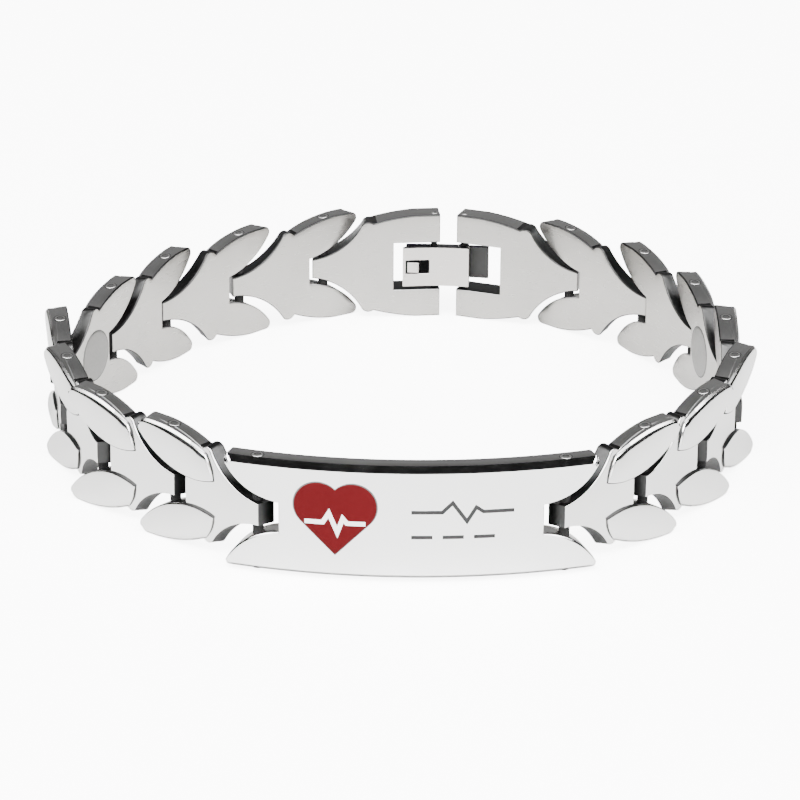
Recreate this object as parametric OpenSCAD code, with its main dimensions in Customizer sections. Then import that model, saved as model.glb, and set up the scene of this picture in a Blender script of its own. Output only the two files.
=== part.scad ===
// Medical alert link bracelet: a curved name plate, two runs of swallow-tail links
// and two end links that a folding clasp draws together. It stands on its edge.
// Lengths are millimetres. +Z is up, the plate faces -Y and the clasp faces +Y.

/* [Chain] */
// Distance between the two pins of a link
link_pitch = 10.35; // [9.5:0.05:11.5]
// Height of the links, over both lobes
link_height = 11.4; // [10.8:0.1:13]
// Distance from an end link's tongue pin to its mouth pin
end_link_reach = 11.9; // [11:0.1:13.5]
// Distance between the two mouth pins with the clasp closed
clasp_span = 3.2; // [2.8:0.1:4]

/* [Link thickness] */
// Depth of the flat inner face below the pin axis
inner_depth = 0.9; // [0.8:0.05:1.2]
// Height of a link's crowned outer face above the pin axis
body_rise = 0.9; // [0.8:0.05:1.1]
// Radius of that crown, across the link
body_crown = 32; // [20:1:60]
// Height of a leaf's crest above the pin axis
leaf_rise = 1.3; // [1.2:0.05:1.6]
// Radius of a leaf's crown
leaf_crown = 7; // [5:0.5:14]

/* [Tongue and nubs] */
// How far a tongue runs past its pin
tongue_reach = 1.2; // [1.1:0.05:1.4]
// Height of the tongue at its flat end
tongue_height = 2.1; // [1.8:0.1:2.4]
// Radius of the hollow flare between tongue and nub
flare_radius = 7.5; // [7:0.5:10]
// Distance from the tongue pin to the middle of a nub
nub_place = 5.55; // [5.3:0.05:5.8]
// Height of a link over its two nubs
nub_height = 9.8; // [9.4:0.1:10]
// Radius of a nub
nub_radius = 0.85; // [0.75:0.05:1]

/* [Lobes] */
// Distance from the lobe pin back to the notch end
notch_depth = 2.15; // [1.9:0.05:2.4]
// Height of the notch at its end
notch_height = 2.85; // [2.6:0.05:3.1]
// Radius of a lobe's edge beside the notch
lobe_radius = 8; // [6.5:0.1:8.5]
// Distance from the lobe pin back to the middle of that edge's arc
lobe_back = 3.35; // [3.2:0.05:3.9]
// Radius of a lobe's long outer edge
crest_radius = 15; // [13:0.5:20]
// Distance of the crest past the lobe pin
crest_place = 2; // [1.6:0.1:2.4]
// Radius of a lobe's tip
tip_radius = 0.6; // [0.4:0.05:0.8]

/* [Leaves] */
// Radius of a leaf's edge beside the notch
leaf_radius = 8.34; // [7.8:0.02:9]
// Distance from the lobe pin back to the middle of that edge's arc
leaf_back = 3.17; // [2.9:0.01:3.4]
// Height between the two leaves at the notch end
leaf_parting = 2.74; // [2.6:0.02:3]
// Ledge between a leaf and the lobe's long edge
leaf_ledge = 0.15; // [0.1:0.05:0.3]
// Slant of a leaf's cut end, from the chain's line
leaf_cut_slant = 64; // [55:1:75]
// Distance from the tongue pin to the cut's outer end
leaf_cut_place = 5.85; // [5.6:0.05:6.1]
// Lean of a leaf's long axis, from the chain's line
leaf_lean = 14.3; // [10:0.1:18]
// Distance from the lobe pin back to the middle of a leaf
leaf_middle_back = 1.35; // [1:0.05:1.8]
// Height of the middle of a leaf above the link's middle
leaf_middle = 3.4; // [3.2:0.05:3.7]
// Radius of a leaf's tip
leaf_tip_radius = 0.8; // [0.5:0.05:1]

/* [End links] */
// Height of an end link's crowned outer face above the pin axis
end_rise = 2.2; // [1.8:0.1:2.4]
// Height of an end link over its two nubs
end_nub_height = 10.1; // [9.9:0.1:10.3]
// Distance from an end link's tongue pin to the middle of its nub
end_nub_place = 4.8; // [4.6:0.05:5.1]
// Radius of the flare of an end link
end_flare_radius = 7; // [6.5:0.5:9]
// Radius of an end link's long edge
end_crest_radius = 22.7; // [18:0.1:30]
// Metal between a mouth pin's axis and the mouth
mouth_wall = 0.55; // [0.5:0.05:0.7]
// Depth of the clasp's notch, from the mouth
mouth_depth = 4.95; // [4.6:0.05:5.4]
// Height of the clasp's notch
mouth_height = 5.25; // [5:0.05:5.6]

/* [Plate] */
// Height of the plate
plate_height = 10.8; // [10.4:0.1:11.2]
// Radius of the plate's curve at its pins
plate_radius = 49.2; // [40:0.2:60]
// Length along the plate between its pins
plate_pin_length = 27.8; // [25:0.1:32]
// Thickness of the plate inside its pins
plate_inner_depth = 1.2; // [1.1:0.05:1.4]
// Thickness of the plate outside its pins
plate_rise = 1.2; // [1.1:0.05:1.4]
// Radius of a plate corner's edge beside its notch
plate_lobe_radius = 6.2; // [5.6:0.1:6.8]
// Distance from the plate's pin back to the middle of that edge's arc
plate_lobe_back = 2.75; // [2.55:0.05:3.05]
// Distance from the plate's pin back to the notch end
plate_notch_depth = 2.2; // [2:0.05:2.4]
// Height of the plate's notch at its end
plate_notch_height = 2.8; // [2.6:0.05:3]
// Radius of a plate corner's tip
plate_tip_radius = 0.3; // [0.25:0.05:0.5]

/* [Heart and marks] */
// Width of the heart
heart_width = 7.6; // [6:0.1:8.4]
// Distance of the heart from the plate's middle
heart_place = 6.8; // [6:0.1:7.4]
// Depth of the heart's recess
heart_depth = 0.3; // [0.2:0.05:0.4]
// Width of the trace's line across the heart
pulse_line = 0.5; // [0.4:0.05:0.6]
// Gap around the enamel and the trace
inlay_gap = 0.04; // [0.03:0.01:0.05]
// Width of an engraved line
mark_line = 0.34; // [0.25:0.01:0.45]
// Depth of an engraved line
mark_depth = 0.12; // [0.08:0.01:0.2]
// Length of the engraved trace
mark_length = 9.2; // [8:0.1:10]

/* [Pins] */
// Diameter of a hinge pin
pin_width = 1.1; // [0.9:0.05:1.15]
// Diameter of a mouth pin
mouth_pin_width = 0.6; // [0.5:0.05:0.7]
// Clearance around every pin
pin_gap = 0.04; // [0.03:0.01:0.08]
// How deep a pin's ends lie in their holes
pin_recess = 0.25; // [0.1:0.05:0.4]

/* [Inserts] */
// Diameter of the round inserts inside the two side links
insert_width = 5; // [4:0.1:5.2]
// Thickness of an insert
insert_thickness = 0.7; // [0.5:0.05:0.9]
// Metal between an insert and the link's notch
insert_wall = 0.3; // [0.2:0.05:0.5]
// Gap around an insert
insert_gap = 0.05; // [0.03:0.01:0.1]

/* [Clasp] */
// Height of the lever
lever_height = 4.3; // [4:0.1:4.6]
// Thickness of the lever and of the cover
blade_thickness = 0.55; // [0.45:0.05:0.65]
// How far the lever runs past the left mouth pin
lever_reach = 3.2; // [2.8:0.1:3.6]
// Radius of the lever's bend
lever_bend = 18; // [14:1:26]
// Radius of the cover's bend
cover_bend = 40; // [30:1:80]
// Height of the cover
cover_height = 3.5; // [3:0.1:3.8]
// How far the cover runs past the right mouth pin
cover_reach = 2.6; // [2.4:0.1:4.1]
// Wall of the loops that the clasp's blades turn round the mouth pins
loop_wall = 0.26; // [0.2:0.02:0.3]
// Space between a blade and the other blade's loop
blade_gap = 0.1; // [0.08:0.01:0.2]
// Length of the lever's slot
slot_length = 2.5; // [2:0.1:2.8]
// Height of the lever's slot
slot_height = 1.5; // [1.2:0.1:2]
// Metal between the slot and the lever's free end
slot_wall = 0.3; // [0.25:0.05:0.5]
// Length of the catch that fills part of the slot
catch_length = 1.2; // [0.8:0.1:1.4]
// Clearance around the catch
catch_gap = 0.2; // [0.15:0.05:0.3]

/* [Hidden] */
$fn = 64;

// Headings of the links in degrees from +X, from the plate to the clasp, chosen by hand
left_headings = [139, 134, 113, 99, 66, 62, 46, 33];
right_headings = [44, 55, 69, 90, 103, 116, 135];
left_end_heading = 6;
right_end_heading = 159;
// The links, counted from the plate, that hold an insert
insert_link = 5;

half_height = link_height / 2;
pin_radius = pin_width / 2;
bore_radius = pin_radius + pin_gap;
mouth_bore_radius = mouth_pin_width / 2 + pin_gap;
mouth_at = end_link_reach + mouth_wall;
plate_pin_angle = plate_pin_length / 2 / plate_radius * 180 / PI;
// How far past its pins the plate is drawn before its ends are cut to shape, in degrees
plate_spare_angle = 6;
crest_at = link_pitch + crest_place;
notch_at = link_pitch - notch_depth;
// Slack past a solid's edge for a cutting shape
over = 1;
// How far a lobe's crest stands past the flat that it rests on
crest_shave = 0.03;
far = 60;
// How far two arcs that meet smoothly overlap, so that they cross instead of only touching
crossing = 0.02;
// How far the leaves reach down into a link, from its outer face to the pin axis
leaf_base = 0;
// Distance from an end link's mouth back to the crest of its long edge
end_crest_back = 0.95;
// Share of a loop's radius that the web under it takes, so that they cross
web_share = 0.85;

// The point at distances da from a and db from b, on the side that side picks
function meeting(a, da, b, db, side) =
    let (line = b - a, gap = norm(line))
    let (along = (da * da - db * db + gap * gap) / (2 * gap))
    let (off = sqrt(da * da - along * along))
    a + along * line / gap + side * off * [line[1], -line[0]] / gap;

function turned(heading) = [cos(heading), sin(heading)];
// Pins of a run of links, from its first pin on
function run(at, headings, k = 0) =
    k == len(headings) ? [at]
    : concat([at], run(at + link_pitch * turned(headings[k]), headings, k + 1));
function last(list) = list[len(list) - 1];

function plate_pin(side) =
    [side * plate_radius * sin(plate_pin_angle), -plate_radius * cos(plate_pin_angle)];
function left_run(lean) = run(plate_pin(-1), [for (h = left_headings) h - lean]);
function right_run(lean) = run(plate_pin(1), [for (h = right_headings) h + lean]);
function left_mouth(lean) = last(left_run(lean)) + end_link_reach * turned(left_end_heading - lean);
function right_mouth(lean) = last(right_run(lean)) + end_link_reach * turned(right_end_heading + lean);
// The lean of both runs that brings the mouth pins one clasp span apart, by halving
function closing_lean(low, high, steps) =
    let (mid = (low + high) / 2, gap = right_mouth(mid) - left_mouth(mid))
    let (wide = gap[0] > 0 && norm(gap) > clasp_span)
    steps == 0 ? mid : wide ? closing_lean(mid, high, steps - 1) : closing_lean(low, mid, steps - 1);
lean = closing_lean(-12, 12, 24);

left_pins = left_run(lean);
right_pins = right_run(lean);
left_mouth_pin = left_mouth(lean);
right_mouth_pin = right_mouth(lean);
clasp_line = right_mouth_pin - left_mouth_pin;
clasp_heading = atan2(clasp_line[1], clasp_line[0]);
half_span = norm(clasp_line) / 2;

left_count = len(left_headings);
right_count = len(right_headings);

loop_radius = mouth_bore_radius + loop_wall;
// Distance of the blades' near faces from the mouth pins' axes
blade_at = loop_radius + blade_gap;
face_radius = plate_radius + plate_rise;
// Height of the long edges where the lobe pins stand
lobe_top = half_height + crest_shave - crest_radius
    + sqrt(crest_radius * crest_radius - crest_place * crest_place);
insert_at = notch_at - insert_wall - insert_gap - insert_width / 2;
// Where the lever's free end lies from the clasp's middle, and how deep its slot's catch goes
lever_end = -half_span - lever_reach;
catch_low = -blade_at - blade_thickness - (lever_end * lever_end - half_span * half_span) / lever_bend / 2;

// Height of the traces' peaks, share of the heart's width that its trace takes, height of
// the two rows of marks, and the lower row's dashes
pulse_rise = 0.9;
pulse_share = 0.72;
pulse_length = heart_width * pulse_share;
mark_rise = 1.2;
rule_count = 3;
rule_length = 1.9;
rule_pitch = 2.8;

// Middles of the arcs beside the notch, each of which passes a corner of the notch end
function lobe_middle(pin_at, back, depth, height, radius) =
    [pin_at - back, height / 2 + sqrt(radius * radius - (back - depth) * (back - depth))];
lobe = lobe_middle(link_pitch, lobe_back, notch_depth, notch_height, lobe_radius);
leaf = lobe_middle(link_pitch, leaf_back, notch_depth, leaf_parting, leaf_radius);
plate_lobe = lobe_middle(0, plate_lobe_back, plate_notch_depth, plate_notch_height, plate_lobe_radius);
// Middle and radii of the long edges' arc, with the ledge off for the leaves
crest = [crest_at, half_height + crest_shave - crest_radius];
leaf_edge_radius = crest_radius - leaf_ledge;
leaf_end_at = meeting(leaf, leaf_radius - leaf_tip_radius, crest, leaf_edge_radius - leaf_tip_radius, -1)[0]
    + leaf_tip_radius;

// The outer end of a link's leaves, on the side that is outward
function leaf_end(pin, heading, side) =
    pin + leaf_end_at * turned(heading) + body_rise * turned(heading + side * 90);
left_ends = [for (k = [0:left_count - 1]) leaf_end(left_pins[k], left_headings[k] - lean, 1)];
right_ends = [for (k = [0:right_count - 1]) leaf_end(right_pins[k], right_headings[k] + lean, -1)];
// Middle of the loop on the table, from the outermost faces of its links
loop_left = min([for (p = left_ends) p[0]]);
loop_right = max([for (p = right_ends) p[0]]);
loop_back = max([for (p = concat(left_ends, right_ends)) p[1]]);
loop_middle = [(loop_left + loop_right) / 2, (loop_back - face_radius) / 2];

// Outlines lie in a plane of length along the chain and height, with 0 at mid height

module both_edges() {
    children();
    mirror([0, 1]) children();
}

// Two discs that share their middle stretch: the long edges of a link
module long_edges(place, radius) {
    intersection() {
        translate([place, half_height + crest_shave - radius]) circle(radius, $fn = 128);
        translate([place, radius - half_height - crest_shave]) circle(radius, $fn = 128);
        translate([place - far, -half_height]) square([2 * far, link_height]);
    }
}

// The tongue flares out to two nubs, whose discs it is cut to
module tongue_outline(nub_at, over_nubs, radius) {
    nub = [nub_at, over_nubs / 2 - nub_radius];
    corner = [-tongue_reach, tongue_height / 2];
    flare = meeting(corner, radius, nub, radius + nub_radius - crossing, -1);
    difference() {
        translate([-tongue_reach, -over_nubs / 2 - over])
            square([tongue_reach + nub_at + 2 * nub_radius, over_nubs + 2 * over]);
        both_edges() translate(flare) circle(radius, $fn = 96);
        both_edges() difference() {
            polygon([nub, flare, flare + [0, far], nub + [far, far], nub + [far, 0]]);
            translate(nub) circle(nub_radius);
        }
    }
}

// All of a corner that lies past the small disc that rounds it
module past_tip(middle, tip, touch_a, touch_b) {
    chord = touch_b - touch_a;
    out = [chord[1], -chord[0]] / norm(chord);
    difference() {
        polygon([touch_a - chord, touch_b + chord, touch_b + chord + far * out, touch_a - chord + far * out]);
        translate(middle) circle(tip + crossing);
    }
}

// The same where disc a meets disc b
module past_disc_tip(a, ra, b, rb, tip) {
    middle = meeting(a, ra - tip, b, rb - tip, -1);
    past_tip(middle, tip, a + ra * (middle - a) / (ra - tip), b + rb * (middle - b) / (rb - tip));
}

// The open space between two lobes, from the notch end on
module notch_space(at, middle, radius) {
    difference() {
        translate([at, -link_height]) square([far, 2 * link_height]);
        both_edges() translate(middle) circle(radius, $fn = 96);
    }
}

module link_outline() {
    tongue_outline(nub_place, nub_height, flare_radius);
    difference() {
        intersection() {
            long_edges(crest_at, crest_radius);
            translate([nub_place - nub_radius / 2, -link_height]) square([far, 2 * link_height]);
        }
        notch_space(notch_at, lobe, lobe_radius);
        both_edges() past_disc_tip(lobe, lobe_radius, crest, crest_radius, tip_radius);
    }
}

// The upper leaf: pointed past the lobe pin and cut aslant behind the nub
module leaf_outline() {
    cut_back = crest_at - leaf_cut_place;
    cut_height = crest[1] + sqrt(leaf_edge_radius * leaf_edge_radius - cut_back * cut_back);
    difference() {
        intersection() {
            translate(leaf) circle(leaf_radius, $fn = 96);
            translate(crest) circle(leaf_edge_radius, $fn = 128);
            translate([leaf_cut_place, cut_height]) rotate(leaf_cut_slant)
                translate([-far, -far]) square([2 * far, far]);
        }
        past_disc_tip(leaf, leaf_radius, crest, leaf_edge_radius, leaf_tip_radius);
    }
}

module end_link_outline() {
    tongue_outline(end_nub_place, end_nub_height, end_flare_radius);
    difference() {
        intersection() {
            long_edges(mouth_at - end_crest_back, end_crest_radius);
            translate([end_nub_place - nub_radius / 2, -link_height])
                square([mouth_at - end_nub_place + nub_radius / 2, 2 * link_height]);
        }
        translate([mouth_at - mouth_depth, -mouth_height / 2]) square([far, mouth_height]);
    }
}

// What is cut off past the plate's pin, with the pin at 0
module plate_end_space() {
    notch_space(-plate_notch_depth, plate_lobe, plate_lobe_radius);
}

module plate_tip_space() {
    tip_height = plate_height / 2 - plate_tip_radius;
    reach = plate_lobe_radius - plate_tip_radius;
    rise = plate_lobe[1] - tip_height;
    middle = [plate_lobe[0] + sqrt(reach * reach - rise * rise), tip_height];
    touch = plate_lobe + plate_lobe_radius * (middle - plate_lobe) / reach;
    both_edges() past_tip(middle, plate_tip_radius, touch, [middle[0], plate_height / 2]);
}

// A heart with its middle at the square that its lobes stand on
module heart(width) {
    side = width / (1 / 2 + 1 / sqrt(2)) / sqrt(2);
    k = side / sqrt(2);
    difference() {
        polygon([[0, -k], [2 * k, k], [2 * k, 3 * k], [-2 * k, 3 * k], [-2 * k, k]]);
        for (m = [0, 1]) mirror([m, 0]) difference() {
            polygon([[0, k], [2 * k, -k], [3 * k, -k], [3 * k, 4 * k], [0, 4 * k]]);
            translate([k / 2, k / 2]) circle(side / 2);
        }
    }
}

function unit(v) = v / norm(v);
// Corner points of a line's edge, beside the points of its middle
function beside(points, off) = [
    for (k = [0:len(points) - 1])
    let (a = max(k, 1), b = min(k, len(points) - 2))
    let (before = unit(points[a] - points[a - 1]), after = unit(points[b + 1] - points[b]))
    let (way = unit(before + after))
    points[k] + off / (way * before) * [-way[1], way[0]]
];
module stroke(points, width) {
    right_side = beside(points, -width / 2);
    polygon(concat(beside(points, width / 2), [for (k = [len(points) - 1:-1:0]) right_side[k]]));
}

// The points of a heartbeat trace, as shares of its length
function pulse(length, rise) = [
    [-0.5 * length, 0], [-0.2 * length, 0], [-0.1 * length, rise], [0.04 * length, -rise],
    [0.13 * length, rise / 2], [0.2 * length, 0], [0.5 * length, 0]
];

// Solids stand in a frame of length, outward and height, with the tongue pin at 0

// An outline given thickness, from one outward distance to another
module slab(low, high) {
    translate([0, high, 0]) rotate([90, 0, 0]) linear_extrude(height = high - low) children();
}

// A bore or pin along the height
module upright(at, radius, half) {
    translate([at[0], at[1], -half]) cylinder(r = radius, h = 2 * half);
}

module crowned_slab(rise) {
    intersection() {
        slab(-inner_depth, rise + over) children();
        translate([-far, rise - body_crown, 0]) rotate([0, 90, 0])
            cylinder(r = body_crown, h = 2 * far, $fn = 256);
    }
}

module link_leaf() {
    intersection() {
        slab(leaf_base, leaf_rise + over) leaf_outline();
        translate([link_pitch - leaf_middle_back, leaf_rise - leaf_crown, leaf_middle])
            rotate([0, 90 - leaf_lean, 0]) cylinder(r = leaf_crown, h = 2 * far, center = true, $fn = 128);
    }
}

module link(holds_insert) {
    difference() {
        union() {
            crowned_slab(body_rise) link_outline();
            link_leaf();
            mirror([0, 0, 1]) link_leaf();
        }
        upright([0, 0], bore_radius, link_height);
        upright([link_pitch, 0], bore_radius, link_height);
        if (holds_insert)
            slab(-inner_depth - over, insert_thickness + insert_gap - inner_depth)
                translate([insert_at, 0]) circle(insert_width / 2 + insert_gap);
    }
}

module insert() {
    slab(-inner_depth, insert_thickness - inner_depth)
        translate([insert_at, 0]) circle(insert_width / 2);
}

module end_link() {
    difference() {
        crowned_slab(end_rise) end_link_outline();
        upright([0, 0], bore_radius, link_height);
        upright([end_link_reach, 0], mouth_bore_radius, link_height);
    }
}

// A ring about the plate's centre of curvature, as high as the plate
module plate_band(low, high) {
    difference() {
        upright([0, 0], high, plate_height / 2, $fn = 360);
        upright([0, 0], low, plate_height, $fn = 360);
    }
}

// Shapes drawn as seen from outside, along the plate from its middle, down to a depth in its face
module in_face(along, depth, top = over) {
    intersection() {
        rotate(along / face_radius * 180 / PI)
            translate([0, -face_radius, 0]) slab(-over, plate_rise) children();
        plate_band(face_radius - depth, face_radius + top);
    }
}

module marks() {
    translate([mark_length / 2, mark_rise]) stroke(pulse(mark_length, pulse_rise), mark_line);
    for (k = [0:rule_count - 1])
        translate([k * rule_pitch, -mark_rise - mark_line / 2]) square([rule_length, mark_line]);
}

// Places: the left run turns its outward side left, the right run is turned over

module on_table() {
    translate([-loop_middle[0], -loop_middle[1], half_height]) children();
}
module on_left(k) {
    on_table() translate(left_pins[k - 1])
        rotate((k > left_count ? left_end_heading : left_headings[k - 1]) - lean) children();
}
module on_right(k) {
    on_table() translate(right_pins[k - 1])
        rotate((k > right_count ? right_end_heading : right_headings[k - 1]) + lean)
            rotate([180, 0, 0]) children();
}
// With the middle between the mouth pins at 0
module on_clasp() {
    on_table() translate((left_mouth_pin + right_mouth_pin) / 2) rotate(clasp_heading) children();
}

// Sub-parts

module id_plate() {
    spread = plate_pin_angle + plate_spare_angle;
    color("silver") on_table() difference() {
        intersection() {
            plate_band(plate_radius - plate_inner_depth, face_radius);
            translate([0, 0, -plate_height]) linear_extrude(height = 2 * plate_height)
                polygon([[0, 0], far * 2 * [-sin(spread), -cos(spread)], far * 2 * [sin(spread), -cos(spread)]]);
        }
        for (side = [-1, 1]) translate(plate_pin(side)) {
            rotate(side * plate_pin_angle) rotate([0, side < 0 ? 180 : 0, 0]) {
                slab(-plate_radius / 4, plate_radius / 4) plate_end_space();
                slab(-plate_radius / 4, plate_radius / 4) plate_tip_space();
            }
            upright([0, 0], bore_radius, plate_height);
        }
        in_face(-heart_place, heart_depth) heart(heart_width);
        in_face(0, mark_depth) marks();
    }
}

module emblem_enamel() {
    color("crimson") on_table() difference() {
        in_face(-heart_place, heart_depth - inlay_gap, 0) heart(heart_width - 2 * inlay_gap);
        in_face(-heart_place, heart_depth / 2) stroke(pulse(pulse_length, pulse_rise), pulse_line);
    }
}

module emblem_trace() {
    color("white") on_table() in_face(-heart_place, heart_depth / 2 - inlay_gap, 0)
        stroke(pulse(pulse_length - 2 * inlay_gap, pulse_rise), pulse_line - 2 * inlay_gap);
}

module link_left(k) {
    color("lightgray") on_left(k) link(k == insert_link);
}
module link_right(k) {
    color("lightgray") on_right(k) link(k == insert_link);
}
module end_link_left() {
    color("silver") on_left(left_count + 1) end_link();
}
module end_link_right() {
    color("silver") on_right(right_count + 1) end_link();
}

// The pins next to the plate are as much shorter as the plate is
function pin_half(k) = (k == 1 ? plate_height / 2 : lobe_top) - pin_recess;
module pin_left(k) {
    color("gray") on_left(k) upright([0, 0], pin_radius, pin_half(k));
}
module pin_right(k) {
    color("gray") on_right(k) upright([0, 0], pin_radius, pin_half(k));
}
module mouth_pin_left() {
    color("gray") on_left(left_count + 1)
        upright([end_link_reach, 0], mouth_pin_width / 2, half_height - pin_recess);
}
module mouth_pin_right() {
    color("gray") on_right(right_count + 1)
        upright([end_link_reach, 0], mouth_pin_width / 2, half_height - pin_recess);
}

module insert_left() {
    color("gainsboro") on_left(insert_link) insert();
}
module insert_right() {
    color("gainsboro") on_right(insert_link) insert();
}

// The clasp's profiles are drawn from above, between the mouth pins

// A bent strip with its near face one blade_at off both mouth pins' axes
module bent_blade(from, to, bend, inner, outer) {
    intersection() {
        translate([0, -sqrt(bend * bend - half_span * half_span)]) difference() {
            circle(outer, $fn = 256);
            circle(inner, $fn = 256);
        }
        translate([from, -bend]) square([to - from, bend + over]);
    }
}

// A loop round the mouth pin on one side and the web that ties it to its blade
module blade_loop(side, way) {
    translate([side * half_span, 0]) {
        circle(loop_radius);
        translate([-web_share * loop_radius, way > 0 ? 0 : -blade_at - blade_thickness / 2])
            square([2 * web_share * loop_radius, blade_at + blade_thickness / 2]);
    }
}

module clasp_lever() {
    color("darkgray") on_clasp() difference() {
        translate([0, 0, -lever_height / 2]) linear_extrude(height = lever_height) {
            translate([0, -blade_at])
                bent_blade(lever_end, half_span + loop_radius, lever_bend, lever_bend - blade_thickness, lever_bend);
            blade_loop(1, -1);
        }
        upright([half_span, 0], mouth_bore_radius, lever_height);
        translate([lever_end + slot_wall, -far, -slot_height / 2]) cube([slot_length, far, slot_height]);
    }
}

module clasp_cover() {
    catch_height = slot_height - 2 * catch_gap;
    color("silver") on_clasp() difference() {
        union() {
            translate([0, 0, -cover_height / 2]) linear_extrude(height = cover_height) {
                translate([0, blade_at]) bent_blade(
                    lever_end + slot_wall / 2, half_span + cover_reach, cover_bend,
                    cover_bend, cover_bend + blade_thickness
                );
                blade_loop(-1, 1);
            }
            translate([lever_end + slot_wall + catch_gap, catch_low, -catch_height / 2])
                cube([catch_length, blade_at - catch_low, catch_height]);
        }
        upright([-half_span, 0], mouth_bore_radius, cover_height);
    }
}

id_plate();
emblem_enamel();
emblem_trace();
for (k = [1:left_count]) link_left(k);
for (k = [1:right_count]) link_right(k);
end_link_left();
end_link_right();
for (k = [1:left_count + 1]) pin_left(k);
for (k = [1:right_count + 1]) pin_right(k);
insert_left();
insert_right();
mouth_pin_left();
mouth_pin_right();
clasp_cover();
clasp_lever();
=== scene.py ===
"""Looks of a steel link bracelet with a curved name plate, standing on its edge.

Each sub-assembly is a class that holds its sizes in millimetres. Its surfaces are
worked out with numpy in a frame of length, outward and height, and then placed
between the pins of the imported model, so nothing is fitted by eye.
"""

import logging
from dataclasses import dataclass, field, replace
from enum import Enum, IntEnum
from typing import Callable, Sequence

import bmesh
import bpy
import numpy as np
from bpy.types import Material, Mesh, Node, NodeTree, Object
from mathutils import Matrix, Vector


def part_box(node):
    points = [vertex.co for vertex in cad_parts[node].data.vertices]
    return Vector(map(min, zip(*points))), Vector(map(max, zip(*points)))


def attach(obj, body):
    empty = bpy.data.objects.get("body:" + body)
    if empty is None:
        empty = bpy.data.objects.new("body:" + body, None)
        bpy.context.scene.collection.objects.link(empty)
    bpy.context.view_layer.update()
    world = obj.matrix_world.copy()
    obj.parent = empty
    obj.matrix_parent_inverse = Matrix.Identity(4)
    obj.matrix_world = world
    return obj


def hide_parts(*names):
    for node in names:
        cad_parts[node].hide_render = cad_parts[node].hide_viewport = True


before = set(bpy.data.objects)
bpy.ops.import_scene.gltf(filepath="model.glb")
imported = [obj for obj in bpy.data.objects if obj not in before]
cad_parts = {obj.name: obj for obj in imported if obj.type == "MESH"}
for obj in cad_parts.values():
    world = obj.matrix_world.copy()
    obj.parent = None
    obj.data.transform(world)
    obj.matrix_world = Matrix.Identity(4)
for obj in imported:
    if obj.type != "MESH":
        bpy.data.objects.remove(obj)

log = logging.getLogger("bracelet")

Array = np.ndarray
Pair = tuple[float, float]
Triple = tuple[float, float, float]
Edge = Callable[[Array], Array]
Face = Callable[[Array, Array], Array]
Values = dict[str | int, object]

MM = 0.001
TINY = 1e-6
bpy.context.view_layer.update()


class Body(Enum):
    """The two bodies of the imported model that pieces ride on."""

    BRACELET = "bracelet"
    LEVER = "clasp_lever"


class Side(Enum):
    """The two runs of links, as seen from the plate's front."""

    LEFT = "left"
    RIGHT = "right"


# Plane geometry


def ease(count: int) -> Array:
    """Shares of a rounding's radius, closer together where it is steep."""
    return 1 - np.cos(np.radians(np.linspace(0, 90, count)))


EASE = ease(6)
RING = len(EASE)


def join(*parts: Array | float) -> Array:
    """Joins coordinates, each a number or an array, into points."""
    return np.stack(np.broadcast_arrays(*parts), -1)


def unit(ways: Array) -> Array:
    """Directions at length 1."""
    return ways / np.hypot(ways[..., :1], ways[..., 1:])


def merged(*runs: Sequence[float], digits: int = 6) -> Array:
    """Columns from several runs, sorted, each once."""
    return np.unique(np.round(np.concatenate(runs), digits))


def fading(distance: Array, length: float) -> Array:
    """1 at no distance, falling evenly to 0 at a length and beyond."""
    return np.clip(1 - distance / length, 0, 1)


def rounding(distance: Array, radius: Array | float) -> Array:
    """How far a rounded edge falls: a quarter circle, from its radius at the edge to 0."""
    inside = np.clip(radius - distance, 0, radius)
    return radius - np.sqrt(np.maximum(radius**2 - inside**2, 0))


def level(y: float) -> Face:
    """A flat face at an outward distance."""
    return lambda x, z: np.full_like(x, y)


def crowned(rise: float, radius: float) -> Face:
    """A face crowned by a wide circle across the height, the same all along."""
    return lambda x, z: rise - radius + np.sqrt(radius**2 - z**2)


def edge_distance(points: Array, *lines: Array) -> Array:
    """Distance of each point from the nearest of some lines.

    Args:
        points: Any shape, with the two coordinates last.
        lines: The points along each line.

    Returns:
        One distance for each point.
    """
    edges = np.concatenate([np.stack([line[:-1], line[1:]], 1) for line in lines])
    start, along = edges[:, 0], edges[:, 1] - edges[:, 0]
    square = (along**2).sum(1)
    real = square > TINY**2
    start, along, square = start[real], along[real], square[real]
    off = points.reshape(-1, 2)[:, None] - start[None]
    share = np.clip((off * along).sum(-1) / square, 0, 1)
    gap = off - share[..., None] * along
    return np.sqrt((gap**2).sum(-1).min(1)).reshape(points.shape[:-1])


@dataclass(frozen=True)
class Disc:
    """A disc in the plane of length and height."""

    x: float
    z: float
    r: float

    @property
    def middle(self) -> Array:
        """The disc's middle."""
        return np.array([self.x, self.z])

    def half(self, x: Array) -> Array:
        """Half of the disc's height at a length."""
        return np.sqrt(np.maximum(self.r**2 - (x - self.x) ** 2, 0))

    def over(self, x: Array) -> Array:
        """Height of the disc's upper edge."""
        return self.z + self.half(x)

    def under(self, x: Array) -> Array:
        """Height of the disc's lower edge."""
        return self.z - self.half(x)

    def touch(self, small: "Disc") -> Array:
        """The point at which a smaller disc inside this one touches it."""
        return self.middle + (small.middle - self.middle) * self.r / (self.r - small.r)

    def arc(self, start: Array, end: Array, shares: Array) -> Array:
        """Points on the edge between two of its points, the short way round.

        Args:
            start: First point on the edge.
            end: Last point on the edge.
            shares: How far round each point lies, from 0 to 1.

        Returns:
            One row for each share.
        """
        a = np.arctan2(start[1] - self.z, start[0] - self.x)
        b = np.arctan2(end[1] - self.z, end[0] - self.x)
        angle = a + ((b - a + np.pi) % (2 * np.pi) - np.pi) * shares
        return join(self.x + self.r * np.cos(angle), self.z + self.r * np.sin(angle))


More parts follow.
